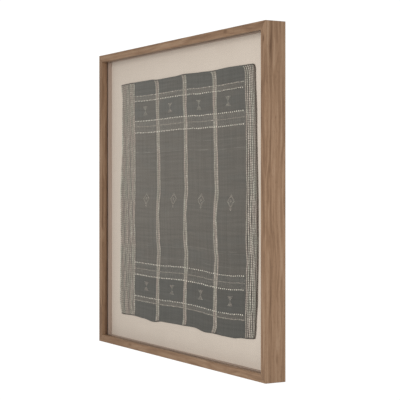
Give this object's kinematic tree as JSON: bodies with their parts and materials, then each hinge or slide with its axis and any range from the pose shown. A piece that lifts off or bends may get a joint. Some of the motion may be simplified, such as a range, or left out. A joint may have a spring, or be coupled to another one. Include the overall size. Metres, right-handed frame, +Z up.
{
  "type": "framed woven textile in a shadow-box frame",
  "caption": "Handwoven striped cloth floated on a linen mount behind a clear pane, in a deep mitred walnut box frame that hangs flat on a wall.",
  "frame": {"origin": "middle of the top rail's back face, where the frame meets the wall", "axes": "+Y into the wall, so that the front faces -Y; +Z up; +X to the right of someone who looks at the front"},
  "size_m": [0.826, 0.051, 0.7621],
  "materials": {
    "walnut": "waxed walnut, fine straight grain along each rail",
    "clear_pane": "clear low-reflection glazing",
    "spacer_wood": "pale limed wood, matte",
    "grey_wool": "handwoven charcoal wool and cotton with cream stripes and bands",
    "linen": "oatmeal plain-weave linen",
    "mount_board": "dense fibre board",
    "back_board": "brown hardboard, fine fibre texture"
  },
  "bodies": {
    "root": {"rail_top": "walnut", "rail_bottom": "walnut", "rail_left": "walnut", "rail_right": "walnut", "pane": "clear_pane", "spacer_top": "spacer_wood", "spacer_bottom": "spacer_wood", "spacer_left": "spacer_wood", "spacer_right": "spacer_wood", "textile": "grey_wool", "linen_ground": "linen", "mount_board": "mount_board", "back_board": "back_board"}
  },
  "joints": []
}
